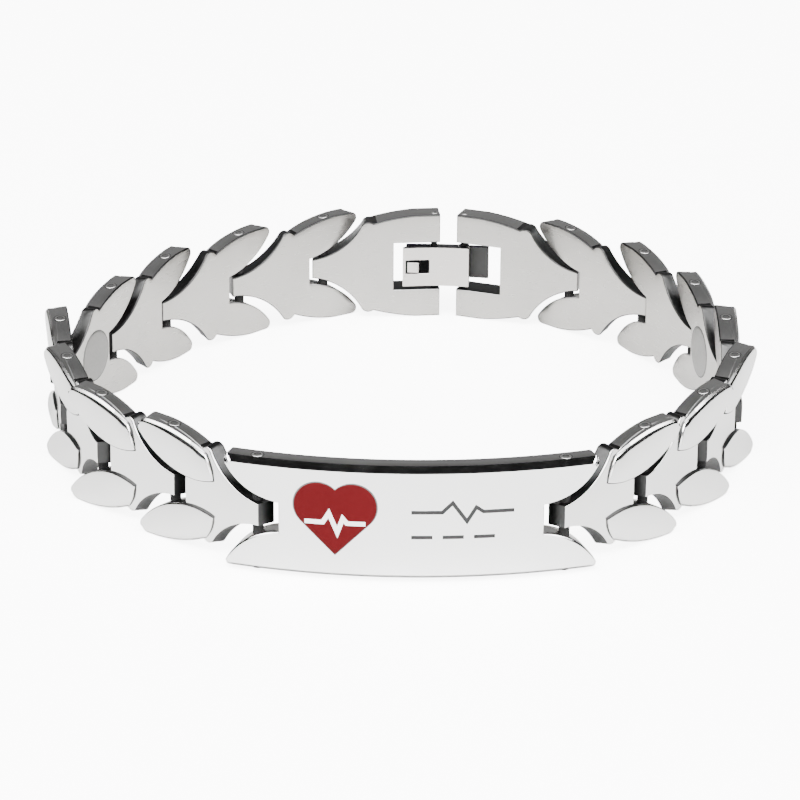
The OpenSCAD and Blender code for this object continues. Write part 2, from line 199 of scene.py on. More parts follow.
def crossing(a: Disc, b: Disc, radius: float) -> Disc:
    """A disc with its middle where the edges of two discs cross.

    Args:
        a: First disc.
        b: Second disc.
        radius: Radius of the new disc.

    Returns:
        The disc at the crossing that lies to the left on the way from a to b.
    """
    line = b.middle - a.middle
    gap = np.hypot(*line)
    along = (a.r * a.r - b.r * b.r + gap * gap) / (2 * gap)
    off = np.sqrt(max(a.r * a.r - along * along, 0.0))
    right = np.array([line[1], -line[0]])
    return Disc(*(a.middle + along * line / gap - off * right / gap), radius)


def tip_disc(a: Disc, b: Disc, radius: float) -> Disc:
    """A small disc inside two discs that touches both of their edges."""
    return crossing(replace(a, r=a.r - radius), replace(b, r=b.r - radius), radius)


def lobe_disc(x: float, radius: float, notch: float, half: float) -> Disc:
    """A lobe's disc, about a length, that passes through the notch's corner."""
    return Disc(x, half + float(np.sqrt(radius**2 - (notch - x) ** 2)), radius)


def fork(lobe: Disc, tip: Disc) -> Edge:
    """The edge under a lobe: its disc's, and its tip's past where they touch."""
    touch = lobe.touch(tip)[0]
    return lambda x: np.where(x > touch, tip.under(x), lobe.under(x))


# Meshes


def finished(piece: Object, crisp: float) -> Object:
    """Smooths a piece's faces up to an angle in degrees, and puts it in the scene.

    Args:
        piece: The piece, with its mesh made.
        crisp: Angle past which an edge stays sharp.

    Returns:
        The same piece.
    """
    mesh = piece.data
    mesh.polygons.foreach_set("use_smooth", np.ones(len(mesh.polygons), bool))
    mesh.set_sharp_from_angle(angle=np.radians(crisp))
    mesh.update()
    return placed(piece)


def placed(thing: Object) -> Object:
    """Puts an object in the scene."""
    bpy.context.scene.collection.objects.link(thing)
    return thing


@dataclass
class Shell:
    """Grids of points that are joined into one piece, each grid with its finish.

    In metres, points closer than the weld are merged, and edges shorter than the least go.
    """

    grids: list[tuple[Array, int]] = field(default_factory=list)
    weld: float = 1.5e-6
    least: float = 1e-7
    crisp: float = 38.0

    def add(self, finish: int, *grids: Array) -> "Shell":
        """Adds grids of points, rows by columns by three, in a finish."""
        self.grids += [(np.asarray(grid, float), int(finish)) for grid in grids]
        return self

    def wall(self, finish: int, top: Array, bottom: Array) -> None:
        """Adds a ruled wall: points straight between the two lines, row by row."""
        share = np.linspace(0, 1, 3)[:, None, None]
        self.add(finish, top[None] * (1 - share) + bottom[None] * share)

    def mirror(self, axis: int) -> None:
        """Adds a copy of every grid with one coordinate turned over.

        Args:
            axis: Number of the coordinate.
        """
        sign = np.ones(3)
        sign[axis] = -1
        self.grids += [(g[::-1] * sign, f) for g, f in self.grids]

    def changed(self, change: Callable[[Array], Array]) -> "Shell":
        """The same shell with its points changed by a function."""
        return Shell([(change(g.reshape(-1, 3)).reshape(g.shape), f) for g, f in self.grids])

    def __add__(self, other: "Shell") -> "Shell":
        """This shell and another one as one."""
        return Shell(self.grids + other.grids)

    def piece(self, name: str, materials: Sequence[Material]) -> Object:
        """Makes the Blender object.

        Args:
            name: Name of the piece.
            materials: The finishes, in the order of the grids' numbers.

        Returns:
            The object, at the origin, with its place in its mesh.
        """
        points, quads, finish, start = [], [], [], 0
        for grid, number in self.grids:
            at = start + np.arange(grid[..., 0].size).reshape(grid.shape[:2])
            quad = join(at[:-1, :-1], at[:-1, 1:], at[1:, 1:], at[1:, :-1]).reshape(-1, 4)
            points.append(grid.reshape(-1, 3))
            quads.append(quad)
            finish.append(np.full(len(quad), number, np.int32))
            start += at.size
        mesh = bpy.data.meshes.new(name)
        mesh.from_pydata(np.concatenate(points) * MM, [], np.concatenate(quads))
        mesh.polygons.foreach_set("material_index", np.concatenate(finish))
        for material in materials:
            mesh.materials.append(material)
        work = bmesh.new()
        work.from_mesh(mesh)
        bmesh.ops.remove_doubles(work, verts=work.verts, dist=self.weld)
        bmesh.ops.dissolve_degenerate(work, edges=work.edges, dist=self.least)
        bmesh.ops.recalc_face_normals(work, faces=work.faces)
        work.to_mesh(mesh)
        work.free()
        return finished(bpy.data.objects.new(name, mesh), self.crisp)


def settle(piece: Object, body: Body, slot: str, *nodes: str) -> None:
    """Lets a piece ride on its body in place of some nodes.

    Args:
        piece: The finished piece.
        body: The body it rides on.
        slot: The record's material slot; not used.
        nodes: The nodes that it stands for.
    """
    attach(piece, body.value)
    if nodes:
        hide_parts(*nodes)
    log.info("%s: %d faces", piece.name, len(piece.data.polygons))


@dataclass(frozen=True)
class Place:
    """Where a piece of the chain stands: from one pin towards the next."""

    start: Array
    end: Array
    side: Side

    def __call__(self, points: Array) -> Array:
        """Turns length, outward and height into the table's frame. The right run is turned over first.

        Args:
            points: Points in the piece's own frame.

        Returns:
            The points in the table's frame.
        """
        over = 1 if self.side is Side.LEFT else -1
        way = unit((self.end - self.start)[:2])
        x, y, z = points[:, 0], over * points[:, 1], over * points[:, 2]
        turned = join(x * way[0] - y * way[1], x * way[1] + y * way[0], z)
        return self.start + turned


def node_middle(name: str) -> Array:
    """Middle of a node's box, in millimetres."""
    low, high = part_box(name)
    return (np.array(low) + np.array(high)) / 2 / MM


# Finishes


def preset(target: Node, values: Values) -> None:
    """Sets the values of a node's inputs."""
    for label, value in values.items():
        target.inputs[label].default_value = value


def node(tree: NodeTree, kind: str, values: Values | None = None, **traits: object) -> Node:
    """Adds a node.

    Args:
        tree: The tree it goes into.
        kind: Its type, without the common first part.
        values: Values of its inputs.
        traits: Its own properties.

    Returns:
        The new node.
    """
    made = tree.nodes.new(f"ShaderNode{kind}")
    for label, value in traits.items():
        setattr(made, label, value)
    preset(made, values or {})
    return made


def wire(tree: NodeTree, *wires: tuple[Node, str | int, Node, str | int]) -> None:
    """Links nodes: each wire is a node and its output, then a node and its input."""
    for source, output, target, end in wires:
        tree.links.new(source.outputs[output], target.inputs[end])


def new_group(name: str, inputs: Values, outputs: Values) -> tuple[NodeTree, Node, Node]:
    """An empty shader node group.

    Args:
        name: Name of the group.
        inputs: Kind of each input, by its name.
        outputs: Kind of each output, by its name.

    Returns:
        The group, its input node and its output node.
    """
    tree = bpy.data.node_groups.new(name, "ShaderNodeTree")
    for way, sockets in (("INPUT", inputs), ("OUTPUT", outputs)):
        for label, kind in sockets.items():
            tree.interface.new_socket(name=label, in_out=way, socket_type=f"NodeSocket{kind}")
    return tree, tree.nodes.new("NodeGroupInput"), tree.nodes.new("NodeGroupOutput")


def grain_group() -> NodeTree:
    """Fine polishing lines: stretched noise, as a colour, a roughness and a height.

    Returns:
        The group.
    """
    kinds = {"Tint": "Color", "Shade": "Color", "Smooth": "Float", "Rough": "Float", "Stretch": "Vector"}
    results = {"Color": "Color", "Roughness": "Float", "Height": "Float"}
    tree, given, out = new_group("polishing_grain", kinds, results)
    place = node(tree, "TexCoord")
    stretch = node(tree, "VectorMath", operation="MULTIPLY")
    lines = node(tree, "TexNoise", {"Scale": 1.0, "Detail": 3.0})
    cloud = node(tree, "TexNoise", {"Scale": 160.0, "Detail": 2.0})
    colour = node(tree, "Mix", data_type="RGBA")
    gloss = node(tree, "MapRange", {"From Min": 0.3, "From Max": 0.7})
    wire(tree, (place, "Object", stretch, 0), (given, "Stretch", stretch, 1), (stretch, 0, lines, "Vector"))
    wire(tree, (place, "Object", cloud, "Vector"), (cloud, "Fac", colour, "Factor"))
    wire(tree, (given, "Tint", colour, "A"), (given, "Shade", colour, "B"), (lines, "Fac", gloss, "Value"))
    wire(tree, (given, "Smooth", gloss, "To Min"), (given, "Rough", gloss, "To Max"))
    wire(tree, (colour, "Result", out, "Color"), (gloss, "Result", out, "Roughness"))
    wire(tree, (lines, "Fac", out, "Height"))
    return tree


def wear_group() -> NodeTree:
    """Handling marks: soft patches that lift the roughness a little.

    Returns:
        The group.
    """
    kinds = {"Roughness": "Float", "Amount": "Float", "Size": "Float"}
    tree, given, out = new_group("handling_marks", kinds, {"Roughness": "Float"})
    place = node(tree, "TexCoord")
    patches = node(tree, "TexNoise", {"Detail": 4.0})
    lift = node(tree, "MapRange", {"From Min": 0.45, "From Max": 0.75})
    total = node(tree, "Math", operation="ADD")
    wire(tree, (place, "Object", patches, "Vector"), (given, "Size", patches, "Scale"))
    wire(tree, (patches, "Fac", lift, "Value"), (given, "Amount", lift, "To Max"))
    wire(tree, (lift, "Result", total, 0), (given, "Roughness", total, 1), (total, 0, out, "Roughness"))
    return tree


@dataclass(frozen=True)
class Finish:
    """A surface finish: its colours, its gloss from smooth to rough, and its fine lines."""

    name: str
    tint: Triple
    shade: Triple
    smooth: float
    rough: float
    stretch: Triple | float = (900.0, 900.0, 6000.0)
    relief: float = 0.0
    metallic: float = 1.0
    specular: float = 0.5
    depth: float = 0.00002
    worn: float = 0.02
    patches: float = 240.0

    def material(self, grain: NodeTree, wear: NodeTree) -> Material:
        """The material.

        Args:
            grain: The group of polishing lines.
            wear: The group of handling marks.

        Returns:
            A material whose shader reads the two groups.
        """
        made = bpy.data.materials.new(self.name)
        made.use_nodes = True
        tree = made.node_tree
        shader = tree.nodes["Principled BSDF"]
        preset(shader, {"Metallic": self.metallic, "Specular IOR Level": self.specular})
        lines = node(tree, "Group", node_tree=grain)
        preset(lines, {"Tint": (*self.tint, 1), "Shade": (*self.shade, 1)})
        preset(lines, {"Smooth": self.smooth, "Rough": self.rough, "Stretch": np.full(3, self.stretch)})
        marks = node(tree, "Group", node_tree=wear)
        preset(marks, {"Amount": self.worn, "Size": self.patches})
        wire(tree, (lines, "Color", shader, "Base Color"), (lines, "Roughness", marks, "Roughness"))
        wire(tree, (marks, "Roughness", shader, "Roughness"))
        if self.relief:
            bump = node(tree, "Bump", {"Strength": self.relief, "Distance": self.depth})
            wire(tree, (lines, "Height", bump, "Height"), (bump, "Normal", shader, "Normal"))
        return made


def grey(tone: float) -> Triple:
    """A colour without hue."""
    return (tone, tone, tone)


# Scales of brushed lines over length, width and height
ALONG = (700.0, 700.0, 9000.0)
BLADE = (700.0, 700.0, 8000.0)


class Look(Enum):
    """Every finish on the bracelet."""

    POLISHED = Finish("polished_steel", (0.80, 0.795, 0.785), (0.72, 0.715, 0.705), 0.10, 0.16)
    PLATE = Finish("mirror_plate_steel", (0.95, 0.95, 0.945), (0.91, 0.91, 0.905), 0.05, 0.08)
    # Satin top and bottom edges: real grain and roughness, and a tint darker than the faces as painted shade
    EDGE = Finish("satin_edge_painted_shade_steel", (0.38, 0.38, 0.376), (0.32, 0.32, 0.317), 0.34, 0.38, 5000.0)
    # Near-black steel: painted shade on walls and roundings in the gaps between parts, and on flares and nubs
    GAP_PAINTED_SHADE = Finish("gap_painted_shade_steel", grey(0.05), grey(0.035), 0.3, 0.4, 3000.0)
    # Satin inner faces: real grain and roughness, and a tint darker than the outer faces as painted shade
    INNER_PAINTED_SHADE = Finish("satin_inner_painted_shade_steel", (0.5, 0.488, 0.468), (0.42, 0.41, 0.393), 0.26, 0.34, ALONG, 0.12)
    RIM = Finish("rolled_rim_steel", (0.78, 0.77, 0.755), (0.70, 0.69, 0.675), 0.2, 0.25)
    PIN = Finish("turned_pin_steel", (0.56, 0.556, 0.55), (0.48, 0.477, 0.47), 0.28, 0.34, 5000.0)
    # Black: painted shadow in the pins' hollows and on their dark lines, and behind the clasp's slot
    SPLIT = Finish("hollow_painted_shadow", grey(0.02), grey(0.012), 0.7, 0.85, metallic=0, specular=0.1)
    CLASP = Finish("brushed_clasp_steel", (0.66, 0.635, 0.61), (0.58, 0.555, 0.535), 0.26, 0.36, BLADE, 0.15)
    INSERT = Finish("dull_insert_disc", (0.26, 0.257, 0.25), (0.21, 0.207, 0.202), 0.36, 0.46, 4000.0, 0.3)
    GROOVE = Finish("dark_groove", grey(0.12), grey(0.07), 0.45, 0.6, metallic=0.5)
    MARK = Finish("dark_engraving", grey(0.03), grey(0.02), 0.6, 0.75, 6000.0, 0.2, 0, 0.15)
    RED = Finish("red_enamel", (0.066, 0.0012, 0.0024), (0.056, 0.001, 0.002), 0.5, 0.6, 2500.0, 0, 0, 0.08)
    WHITE = Finish("white_enamel", (0.86, 0.85, 0.83), (0.80, 0.79, 0.77), 0.3, 0.4, 2500.0, metallic=0)


class Finishes:
    """The materials of all finishes, made once."""

    def __init__(self) -> None:
        """Builds the shared groups and every material."""
        grain, wear = grain_group(), wear_group()
        self.made = {look: look.value.material(grain, wear) for look in Look}

    def of(self, *looks: Look) -> list[Material]:
        """The materials of some finishes, in order."""
        return [self.made[look] for look in looks]

    def dress(self, shell: Shell, name: str, looks: Sequence[Look], slot: str, *nodes: str) -> None:
        """Makes a piece of the bracelet's body from its shell.

        Args:
            shell: The shell, in its place.
            name: Name of the piece.
            looks: Its finishes, in the order of their numbers.
            slot: The record's material slot.
            nodes: The nodes that it stands for.
        """
        settle(shell.piece(name, self.of(*looks)), Body.BRACELET, slot, *nodes)


# Forked bands


@dataclass
class ForkedOutline:
    """Upper half of a flat outline whose far end is forked by a notch.

    It has an upper edge all along, and a lower one past the notch's end. Lengths are
    from the near pin. The tip is its radius, or 0 where the end is blunt.
    """

    notch: float
    end: float
    notch_half: float
    upper: Edge
    lower: Edge
    tip: float = 0.0
    start: float = 0.0
    walled: bool = True
    crest_from: float = -100.0
    extra: tuple[float, ...] = ()

    def near_columns(self, shoulder: float, step: float) -> Array:
        """Lengths from the start to the notch's end.

        Args:
            shoulder: Length at either end over which they lie closer together.
            step: Distance between them elsewhere, apart from the extra ones.

        Returns:
            The lengths in order, each once.
        """
        first = self.start + shoulder * EASE if self.walled else np.array([self.start])
        even = np.arange(first[-1], self.notch - shoulder, step)
        return merged(first, even, self.extra, self.notch - shoulder * EASE, digits=5)

    def far_columns(self, shoulder: float) -> Array:
        """Shares from the notch's end to the tip, closer together on the tip or a blunt end's shoulder."""
        last = (self.tip or shoulder) / (self.end - self.notch)
        return merged(np.linspace(0, 1 - last, 22), 1 - last * ease(9))


@dataclass(frozen=True)
class Rim:
    """How the edges of one face are softened: rounded, or cut flat along the upper edge."""

    upper: float
    fork: float
    cut: float = 0.0

    def fall(self, from_upper: Array, from_fork: Array) -> Array:
        """How far the face falls at its distances from the upper edge and from all others."""
        cut, around = self.cut * fading(from_upper, self.upper), rounding(from_upper, self.upper)
        return np.maximum(cut if self.cut else around, rounding(from_fork, self.fork))


@dataclass
class BandSheet:
    """One face of a forked band: two grids that share the line above the notch."""

    outline: ForkedOutline
    near: Array
    far: Array
    rim: Rim

    def flat(self) -> tuple[Array, Array]:
        """The two flat grids, with rows closer together near the edges.

        Returns:
            The outer grid, from a middle line to the upper edge, and the inner one below
            it, as far as the notch. Past the notch's end the middle line is the fork.
        """
        o, near = self.outline, self.near
        x = np.concatenate([near, o.notch + (o.end - o.notch) * self.far[1:]])
        high = o.upper(x)
        middle = np.where(x > o.notch, o.lower(x), np.minimum(o.notch_half, high / 2))
        middle[len(near) - 1] = o.notch_half
        high = np.maximum(high, middle)
        width = high - middle
        low, top = np.minimum(self.rim.fork, width / 2), np.minimum(self.rim.upper, width / 2)
        between = low + (width - low - top) * np.linspace(0, 1, 7)[1:-1, None]
        offsets = np.concatenate([low * EASE[:, None], between, width - top * EASE[::-1, None]])
        return join(x, middle + offsets), join(near, middle[: len(near)] * np.linspace(0, 1, 6)[:, None])

    def edges(self, outer: Array, inner: Array) -> list[Array]:
        """The lines at which the face ends: upper edge, notch end, fork, blunt tip and start.

        Args:
            outer: The outer grid.
            inner: The inner grid.

        Returns:
            The points along each line.
        """
        lines = [outer[-1], inner[:, -1], outer[0, inner.shape[1] - 1 :]]
        if not self.outline.tip:
            lines.append(outer[:, -1])
        if self.outline.walled:
            lines.append(np.concatenate([inner[:, 0], outer[1:, 0]]))
        return lines

    def raised(self, height: Face, way: int) -> tuple[Array, Array, list[Array]]:
        """The face in space: the given height, less the rim's fall.

        Args:
            height: Outward distance of the face over length and height.
            way: 1 for an outer face, -1 for an inner one.

        Returns:
            The outer grid, the inner grid and the lines along which they end.
        """
        outer, inner = self.flat()
        lines = self.edges(outer, inner)

        def lift(grid: Array) -> Array:
            """Adds the outward distance between length and height.

            Args:
                grid: One flat grid of the face.

            Returns:
                The grid in space.
            """
            fall = self.rim.fall(edge_distance(grid, lines[0]), edge_distance(grid, *lines[1:]))
            x, z = grid[..., 0], grid[..., 1]
            return join(x, height(x, z) - way * fall, z)

        outer, inner = lift(outer), lift(inner)
        return outer, inner, self.edges(outer, inner)


class Zone(IntEnum):
    """Finish numbers of a forked band's surfaces."""

    FACE = 0
    # Top and bottom edges: satin, and darker as painted shade
    EDGE = 1
    # Inner faces: satin, and darker as painted shade
    INNER_PAINTED_SHADE = 2
    # Painted shade: near-black walls and roundings in the gaps between parts
    GAP_PAINTED_SHADE = 3
    RIM = 4


BAND_LOOKS = (Look.EDGE, Look.INNER_PAINTED_SHADE, Look.GAP_PAINTED_SHADE, Look.RIM)
# Least length over which columns lie closer together at an end
SHOULDER = 0.2
# The outer face starts further on, and this fades out over some reaches and a little more
FADE_REACHES = 5.0
FADE_MORE = 0.1


def forked_band(
    top: ForkedOutline,
    bottom: ForkedOutline,
    face: Face,
    depth: float,
    rims: tuple[Rim, Rim],
    crest: Zone = Zone.FACE,
    step: float = 0.24,
) -> Shell:
    """A forked band as a closed shell.

    Args:
        top: Outline of the outer face.
        bottom: Outline of the inner face. Where it differs, the walls lean.
        face: Outward distance of the outer face.
        depth: Distance of the flat inner face, inwards.
        rims: Rims of the outer and of the inner face.
        crest: Finish of the outer face's rounding along its crest.
        step: Distance between columns before the notch.

    Returns:
        The shell, with its upper half mirrored about mid height.
    """
    shoulder = max(rims[0].fork, SHOULDER)
    near, far = bottom.near_columns(shoulder, step), bottom.far_columns(shoulder)
    last = len(near) - 1
    fade = FADE_REACHES * abs(bottom.start) + FADE_MORE
    back = (top.start - bottom.start) * fading(near - near[0], fade)
    outer, inner, upper_lines = BandSheet(top, near + back, far, rims[0]).raised(face, 1)
    first = int(np.searchsorted(outer[0, :, 0], top.crest_from))
    shell = Shell()
    shell.add(Zone.FACE, outer[: 1 - RING], outer[-RING:, : first + 1])
    shell.add(crest, outer[-RING:, first:])
    shell.add(Zone.FACE, inner)
    outer, inner, lower_lines = BandSheet(bottom, near, far, rims[1]).raised(level(-depth), -1)
    shell.add(Zone.INNER_PAINTED_SHADE, outer[RING - 1 : 1 - RING], outer[:RING, : last + 1])
    shell.add(Zone.EDGE, outer[:RING, last:])
    # Painted shade, near black, on the inner face's rounding along the upper edge
    shell.add(Zone.GAP_PAINTED_SHADE, outer[-RING:])
    shell.add(Zone.INNER_PAINTED_SHADE, inner)
    # Walls: painted shade, near black at the flare and nub, the notch's end, the fork, the start and a blunt
    # end; darker satin as painted shade along the crest
    shell.wall(Zone.GAP_PAINTED_SHADE, upper_lines[0][: first + 1], lower_lines[0][: first + 1])
    shell.wall(Zone.EDGE, upper_lines[0][first:], lower_lines[0][first:])
    zones = [Zone.GAP_PAINTED_SHADE, Zone.RIM if top.tip else Zone.GAP_PAINTED_SHADE, Zone.GAP_PAINTED_SHADE, Zone.GAP_PAINTED_SHADE]
    for zone, above, below in zip(zones, upper_lines[1:], lower_lines[1:]):
        shell.wall(zone, above, below)
    return shell


@dataclass(frozen=True)
class Tongue:
    """The near end of a link: a flat tongue that flares out to a round nub."""

    reach: float = 1.2
    half: float = 1.05
    flare_radius: float = 7.5
    nub: Disc = Disc(5.55, 4.05, 0.85)
    lap: float = 0.02
    draft: float = 0.4
    crest_from: float = 0.74

    def drafted(self) -> "Tongue":
        """The same tongue set back by the draft, as the outer face has it.

        Returns:
            The tongue of the outer face.
        """
        draft, nub = self.draft, self.nub
        nub = Disc(nub.x + draft / 2, nub.z, nub.r - draft / 2)
        return replace(self, reach=self.reach - draft, nub=nub, flare_radius=self.flare_radius + draft)

    @property
    def flare(self) -> Disc:
        """The hollow flare: a disc past the tongue's corner that touches the nub.

        Returns:
            The disc, which lies outside the link.
        """
        radius = self.flare_radius
        round_nub = replace(self.nub, r=radius + self.nub.r - self.lap)
        return crossing(Disc(-self.reach, self.half, radius), round_nub, radius)

    @property
    def touch(self) -> float:
        """Length at which the flare meets the nub."""
        flare = self.flare
        return flare.x + (self.nub.x - flare.x) * flare.r / (flare.r + self.nub.r)

    def ends(self) -> dict[str, object]:
        """What an outline takes from its tongue: its start, the crest's start, and columns on the nub.

        Returns:
            The fields of the outline, by their names.
        """
        crest = self.nub.x + self.crest_from
        extra = tuple(np.linspace(self.touch, crest + self.lap, 11))
        return {"start": -self.reach, "crest_from": crest, "extra": extra}

    def upper(self, x: Array, crest: Disc, limit: float) -> Array:
        """Upper edge: the flare up to the nub, then the higher of nub and crest, under a flat limit.

        Args:
            x: Lengths.
            crest: Disc of the link's crest.
            limit: Greatest height.

        Returns:
            One height for each length.
        """
        nub = np.where(np.abs(x - self.nub.x) <= self.nub.r, self.nub.over(x), -1.0)
        past = np.minimum(np.maximum(nub, crest.over(x)), limit)
        return np.where(x < self.touch, self.flare.under(x), past)


# Links


@dataclass(frozen=True)
class Leaf:
    """The raised leaf on each lobe: pointed past the pin and cut aslant behind the nub."""

    edge: Disc = Disc(7.18, 9.65, 8.34)
    crest: Disc = Disc(12.35, -9.27, 14.96)
    tip: float = 0.8
    length: float = 9.0
    cut_place: float = 5.85
    cut_slant: float = 64.0
    cut_round: float = 0.42
    lean: float = 14.3
    middle: Pair = (9.0, 3.4)
    rise: float = 1.3
    crown: float = 7.0
    soft: float = 0.24
    fall: float = 0.2
    dip: float = 0.25
    dip_length: float = 3.5
    crisp: float = 0.12
    edge_share: float = 0.3
    bulge: float = 0.22
    bulge_length: float = 2.5
    free_from: float = 8.2
    bright_from: float = 7.4

    def lines(self) -> tuple[Array, Array]:
        """The edge beside the notch and the long outer edge, from the slanted cut to the point.

        Each is an arc of its disc, then one of the tip's small disc up to the very point.

        Returns:
            The two lines, with as many points each.
        """
        top = np.array([self.cut_place, self.crest.over(self.cut_place)])
        angle = np.radians(self.cut_slant)
        slant = join(np.cos(angle), np.sin(angle))
        off = top - self.edge.middle
        down = slant @ off + np.sqrt((slant @ off) ** 2 - off @ off + self.edge.r**2)
        tip = tip_disc(self.edge, self.crest, self.tip)
        a, b = self.edge.touch(tip), self.crest.touch(tip)
        ways = (a - tip.middle) / self.tip + (b - tip.middle) / self.tip
        point = tip.middle + self.tip * ways / np.hypot(*ways)
        first = self.cut_round * EASE / self.length
        main = merged(first, np.linspace(first[-1], 1, 26))
        turn = np.linspace(0, 1, 8)[1:]
        inner = np.concatenate([self.edge.arc(top - down * slant, a, main), tip.arc(a, point, turn)])
        outer = np.concatenate([self.crest.arc(top, b, main), tip.arc(b, point, turn)])
        return inner, outer

    def shell(self) -> Shell:
        """The leaf as a closed shell.

        Its face is a crown about its leaning axis, less a dip towards the bulging cut
        and a fall at the outline: a thin rounding beside the notch and at the cut, and
        a flat shoulder along the crest.

        Returns:
            The shell of the upper leaf.
        """
        inner, outer = self.lines()
        width = np.maximum(np.hypot(*(outer - inner).T), TINY)
        near, far = (np.minimum(part / width, self.edge_share) for part in (self.crisp, self.soft))
        between = near + (1 - near - far) * np.linspace(0, 1, 10)[1:-1, None]
        crease = np.array([1.0, 0.9, 0.8, 0.0])[:, None]
        share = np.concatenate([near * EASE[:, None], between, 1 - far * crease])
        flat = inner + (outer - inner) * share[..., None]
        across = (outer - inner)[0] / width[0]
        fade = fading(np.hypot(*(inner - inner[0]).T), self.bulge_length) ** 2
        flat += (self.bulge * np.sin(np.pi * share) * fade)[..., None] * [-across[1], across[0]]
        lean, cut = np.radians(self.lean), flat[:, 0]
        x, z = flat[..., 0], flat[..., 1]
        side = -(x - self.middle[0]) * np.sin(lean) + (z - self.middle[1]) * np.cos(lean)
        shoulder = self.fall * fading(edge_distance(flat, outer), self.soft)
        dip = self.dip * fading(edge_distance(flat, cut), self.dip_length) ** 2
        round_off = rounding(edge_distance(flat, inner, cut), self.crisp)
        y = crowned(self.rise, self.crown)(x, side) - dip - np.maximum(round_off, shoulder)
        top, under = join(x, y, z), join(x, 0.0, z)
        free = np.searchsorted(inner[:, 0], self.free_from)
        bright = np.searchsorted(outer[:, 0], self.bright_from)
        shell = Shell()
        # Painted shade, near black: the rounding beside the notch where the next link runs under, a line
        # along the shoulder, the underside and the walls at the notch side and cut; darker satin as painted
        # shade on the shoulder towards the cut
        shell.add(Zone.GAP_PAINTED_SHADE, top[:RING, : free + 1])
        shell.add(Zone.FACE, top[:RING, free:], top[RING - 1 : -3])
        shell.add(Zone.GAP_PAINTED_SHADE, top[-4:-1])
        shell.add(Zone.EDGE, top[-2:, : bright + 1])
        shell.add(Zone.RIM, top[-2:, bright:])
        shell.add(Zone.GAP_PAINTED_SHADE, under)
        shell.wall(Zone.GAP_PAINTED_SHADE, top[0], under[0])
        shell.wall(Zone.EDGE, top[-1], under[-1])
        shell.wall(Zone.GAP_PAINTED_SHADE, top[:, 0], under[:, 0])
        return shell


@dataclass(frozen=True)
class Link:
    """A swallow-tail link: crowned body with a tongue, two nubs and two lobes under leaves.

    A lobe is given by its radius and by how far its middle lies back from the pin.
    """

    pitch: float = 10.35
    half_height: float = 5.7
    inner_depth: float = 0.9
    rise: float = 0.9
    crown: float = 32.0
    crest: Disc = Disc(12.35, -9.27, 15.0)
    notch_depth: float = 2.15
    notch_half: float = 1.425
    tip: float = 0.6
    outer_lobe: Pair = (8.0, 3.35)
    inner_lobe: Pair = (8.4, 3.15)
    rims: tuple[Rim, Rim] = (Rim(0.08, 0.05), Rim(0.13, 0.12))
    tongue: Tongue = Tongue()
    leaf: Leaf = Leaf()

    def outline(self, lobe: Pair, other: Tongue | None = None) -> ForkedOutline:
        """The outline with a given lobe, and with another tongue if one is given.

        Args:
            lobe: Radius of the lobe, and how far its middle lies back.
            other: Tongue in place of the link's own.

        Returns:
            The upper half of the outline.
        """
        tongue = other or self.tongue
        notch = self.pitch - self.notch_depth
        disc = lobe_disc(self.pitch - lobe[1], lobe[0], notch, self.notch_half)
        small = tip_disc(disc, self.crest, self.tip)
        above = self.crest.touch(small)[0]

        def upper(x: Array) -> Array:
            """Upper edge: the tongue's and the crest's, round to the tip."""
            high = np.where(x > above, small.over(x), tongue.upper(x, self.crest, self.half_height))
            return np.minimum(high, self.half_height)

        lower, end = fork(disc, small), small.x + self.tip
        return ForkedOutline(notch, end, self.notch_half, upper, lower, self.tip, **tongue.ends())

    def shell(self) -> Shell:
        """The body and its two leaves, in the link's own frame.

        Returns:
            Both halves of the link.
        """
        top, bottom = self.outline(self.outer_lobe, self.tongue.drafted()), self.outline(self.inner_lobe)
        face = crowned(self.rise, self.crown)
        made = forked_band(top, bottom, face, self.inner_depth, self.rims, Zone.EDGE) + self.leaf.shell()
        made.mirror(2)
        return made


@dataclass(frozen=True)
class EndLink:
    """A plain crowned end link with a straight notch for the clasp."""

    mouth: float = 12.45
    mouth_depth: float = 4.95
    mouth_half: float = 2.625
    half_height: float = 5.665
    crest: Disc = Disc(11.5, -16.97, 22.7)
    inner_depth: float = 0.9
    rise: float = 2.2
    crown: float = 32.0
    rims: tuple[Rim, Rim] = (Rim(0.1, 0.06), Rim(0.13, 0.12))
    tongue: Tongue = Tongue(flare_radius=7.0, nub=Disc(4.8, 4.2, 0.85), crest_from=0.52)

    def outline(self, tongue: Tongue) -> ForkedOutline:
        """The outline with a given tongue and blunt ends at the mouth.

        Args:
            tongue: The tongue at the near end.

        Returns:
            The upper half of the outline.
        """
        notch, half = self.mouth - self.mouth_depth, self.mouth_half

        def upper(x: Array) -> Array:
            """Upper edge: the tongue's and the crest's."""
            return tongue.upper(x, self.crest, self.half_height)

        return ForkedOutline(notch, self.mouth, half, upper, lambda x: np.full_like(x, half), **tongue.ends())

    def shell(self) -> Shell:
        """The end link, in its own frame.

        Returns:
            Both halves of the end link.
        """
        top, bottom = self.outline(self.tongue.drafted()), self.outline(self.tongue)
        made = forked_band(top, bottom, crowned(self.rise, self.crown), self.inner_depth, self.rims)
        made.mirror(2)
        return made


